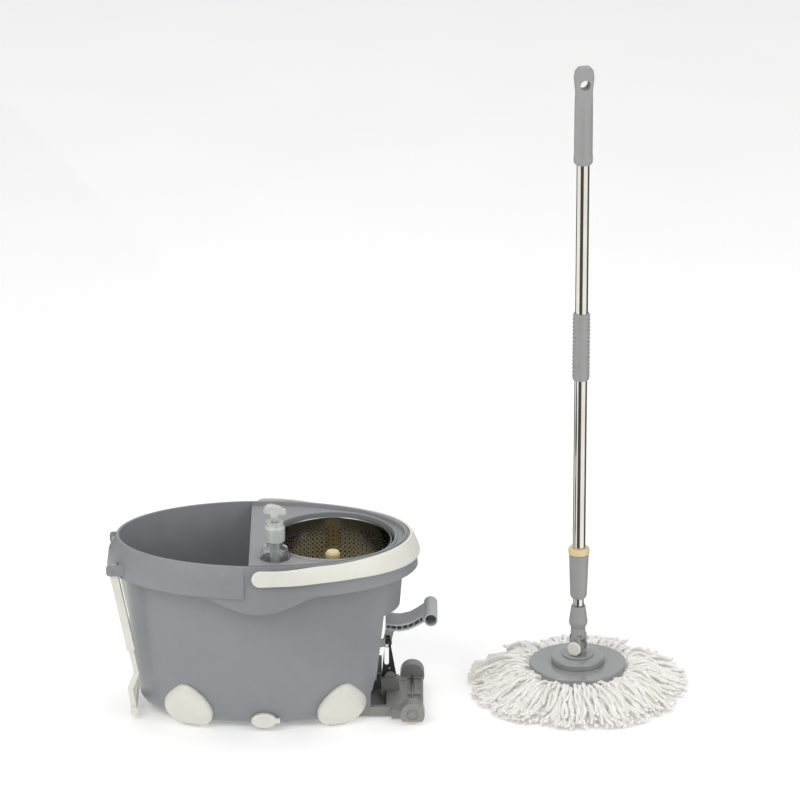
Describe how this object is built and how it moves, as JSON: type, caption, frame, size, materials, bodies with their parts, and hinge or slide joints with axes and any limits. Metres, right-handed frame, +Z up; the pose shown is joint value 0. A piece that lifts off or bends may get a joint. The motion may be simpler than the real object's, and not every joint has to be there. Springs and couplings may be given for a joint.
{
  "type": "spin mop",
  "caption": "Spin mop set: oval wringer bucket with a pedal-driven perforated spin basket, carry and pull handles and soap pump, beside a telescopic mop with a turning chenille yarn head.",
  "frame": {"origin": "middle of the whole set's box at floor level: bucket on the left, mop standing on the right", "axes": "+Z up along the standing pole, +X from the bucket towards the mop, +Y away from the drain plug side"},
  "size_m": [0.9135, 0.3914, 1.0285],
  "materials": {
    "bucket_grey": "satin moulded plastic",
    "insert_grey": "satin moulded plastic",
    "cream_plastic": "satin moulded plastic",
    "steel": "polished perforated sheet",
    "pole_steel": "polished stainless tube",
    "dark_steel": "plain steel",
    "black_plate": "black",
    "pedal_grey": "satin",
    "clear_plastic": "clear moulded plastic",
    "milky_plastic": "translucent white plastic",
    "grip_grey": "satin",
    "plate_grey": "glossy",
    "gear_white": "moulded acetal",
    "wheel_cream": "moulded",
    "seal_rubber": "soft",
    "yarn": "microfibre chenille"
  },
  "bodies": {
    "bucket": {"bucket_tub": "bucket_grey", "bucket_rim": "bucket_grey", "drive_housing": "bucket_grey", "basket_surround": "insert_grey", "handle_pivot_studs": "cream_plastic", "spindle_bush": "gear_white", "spindle_seal": "seal_rubber", "gear_shaft": "dark_steel", "drive_base": "bucket_grey", "base_screws": "dark_steel", "drive_frame": "bucket_grey", "pedal_pivot_pin": "dark_steel", "pedal_spring": "dark_steel", "guide_bracket": "black_plate", "wheel_axle": "dark_steel", "wheel_guard_caps": "pedal_grey", "foot_pads": "cream_plastic", "plug_seal": "seal_rubber", "pull_handle_brackets": "bucket_grey", "pull_handle_pins": "dark_steel"},
    "carry_handle": {"carry_handle": "cream_plastic"},
    "basket": {"spin_basket": "steel", "basket_floor": "cream_plastic", "basket_hub": "cream_plastic", "drive_spindle": "dark_steel"},
    "driver": {"driver_gear": "gear_white"},
    "compound": {"compound_gear": "gear_white"},
    "rack": {"drive_rack": "gear_white"},
    "pedal": {"pedal_arm": "pedal_grey", "pedal_lever": "dark_steel", "guide_pin": "pole_steel"},
    "front_wheel": {"wheel_front": "wheel_cream"},
    "back_wheel": {"wheel_back": "wheel_cream"},
    "pull_sleeves": {"pull_handle_sleeves": "cream_plastic"},
    "pull_loop": {"pull_handle_loop": "cream_plastic"},
    "plug": {"drain_plug": "cream_plastic"},
    "dispenser": {"soap_bottle": "clear_plastic", "pump_collar": "milky_plastic", "pump_body": "milky_plastic", "dip_tube": "milky_plastic", "pump_spring": "dark_steel"},
    "pump": {"pump_head": "milky_plastic", "pump_stem": "milky_plastic"},
    "mop_hub": {"swivel_hub": "plate_grey", "hub_clip": "dark_steel"},
    "mop_plate": {"mop_plate": "plate_grey", "plate_cover": "plate_grey", "refill_ring": "cream_plastic", "mop_yarn": "yarn"},
    "pole_lower": {"pole_socket": "grip_grey", "hinge_pin": "dark_steel", "hinge_caps": "cream_plastic", "inner_tube": "pole_steel"},
    "pole_upper": {"lower_tube": "pole_steel", "upper_tube": "pole_steel", "tube_joiner": "milky_plastic", "lock_ring": "cream_plastic", "mid_grip": "grip_grey", "top_grip": "grip_grey"},
    "lock": {"lock_sleeve": "grip_grey"}
  },
  "joints": [
    {"name": "handle_swing", "type": "hinge", "parent": "bucket", "child": "carry_handle", "pos_m": [-0.21525, -0.0413, 0.272], "axis": [0, -1, 0], "range_deg": [0, 95]},
    {"name": "basket_spin", "type": "hinge", "parent": "bucket", "child": "basket", "pos_m": [-0.10575, -0.0413, 0.2], "axis": [0, 0, 1], "continuous": true},
    {"name": "pedal_press", "type": "hinge", "parent": "bucket", "child": "pedal", "pos_m": [-0.08875, -0.0113, 0.08], "axis": [0, 1, 0], "range_deg": [0, 25], "stiffness_Nm_per_rad": 2, "springref_deg": -20.05},
    {"name": "rack_slide", "type": "slide", "parent": "bucket", "child": "rack", "axis": [-1, 0, 0], "range_m": [0, 0.0167]},
    {"name": "compound_turn", "type": "hinge", "parent": "bucket", "child": "compound", "pos_m": [-0.07192, -0.02899, 0.025], "axis": [0, 0, 1], "range_deg": [0, 80]},
    {"name": "driver_turn", "type": "hinge", "parent": "bucket", "child": "driver", "pos_m": [-0.10575, -0.0413, 0.025], "axis": [0, 0, 1], "range_deg": [-240, 0]},
    {"name": "front_wheel_roll", "type": "hinge", "parent": "bucket", "child": "front_wheel", "pos_m": [0.01825, -0.1183, 0.0165], "axis": [0, 1, 0], "continuous": true},
    {"name": "back_wheel_roll", "type": "hinge", "parent": "bucket", "child": "back_wheel", "pos_m": [0.01825, 0.0357, 0.0165], "axis": [0, 1, 0], "continuous": true},
    {"name": "pull_handle_fold", "type": "hinge", "parent": "bucket", "child": "pull_sleeves", "pos_m": [-0.44475, -0.0413, 0.25], "axis": [0, 1, 0], "range_deg": [0, 150]},
    {"name": "pull_handle_extend", "type": "slide", "parent": "pull_sleeves", "child": "pull_loop", "axis": [0.1933, 0, -0.9811], "range_m": [0, 0.1]},
    {"name": "plug_pull", "type": "slide", "parent": "bucket", "child": "plug", "axis": [0, -1, 0], "range_m": [0, 0.025]},
    {"name": "dispenser_lift", "type": "slide", "parent": "bucket", "child": "dispenser", "axis": [0, 0, 1], "range_m": [0, 0.13]},
    {"name": "pump_press", "type": "slide", "parent": "dispenser", "child": "pump", "axis": [0, 0, -1], "range_m": [0, 0.006], "stiffness_N_per_m": 300, "springref_m": -0.01, "deforming": ["pump_spring"]},
    {"name": "mop_lift", "type": "slide", "parent": "bucket", "child": "mop_hub", "axis": [0, 0, 1], "range_m": [0, 0.4]},
    {"name": "mop_spin", "type": "hinge", "parent": "mop_hub", "child": "mop_plate", "pos_m": [0.27875, 0.0177, 0.045], "axis": [0, 0, 1], "continuous": true},
    {"name": "pole_tilt", "type": "hinge", "parent": "mop_hub", "child": "pole_lower", "pos_m": [0.27875, 0.0177, 0.072], "axis": [-0.47, -0.8827, 0], "range_deg": [-75, 75]},
    {"name": "pole_extend", "type": "slide", "parent": "pole_lower", "child": "pole_upper", "axis": [0, 0, 1], "range_m": [0, 0.25]},
    {"name": "lock_twist", "type": "hinge", "parent": "pole_upper", "child": "lock", "pos_m": [0.27875, 0.0177, 0.2], "axis": [0, 0, 1], "range_deg": [-45, 45]}
  ],
  "couplings": [
    {"joint": "rack_slide", "follows": "pedal_press", "m_per_rad": 0.038},
    {"joint": "compound_turn", "follows": "pedal_press", "ratio": 3.1667},
    {"joint": "driver_turn", "follows": "pedal_press", "ratio": -9.5}
  ]
}
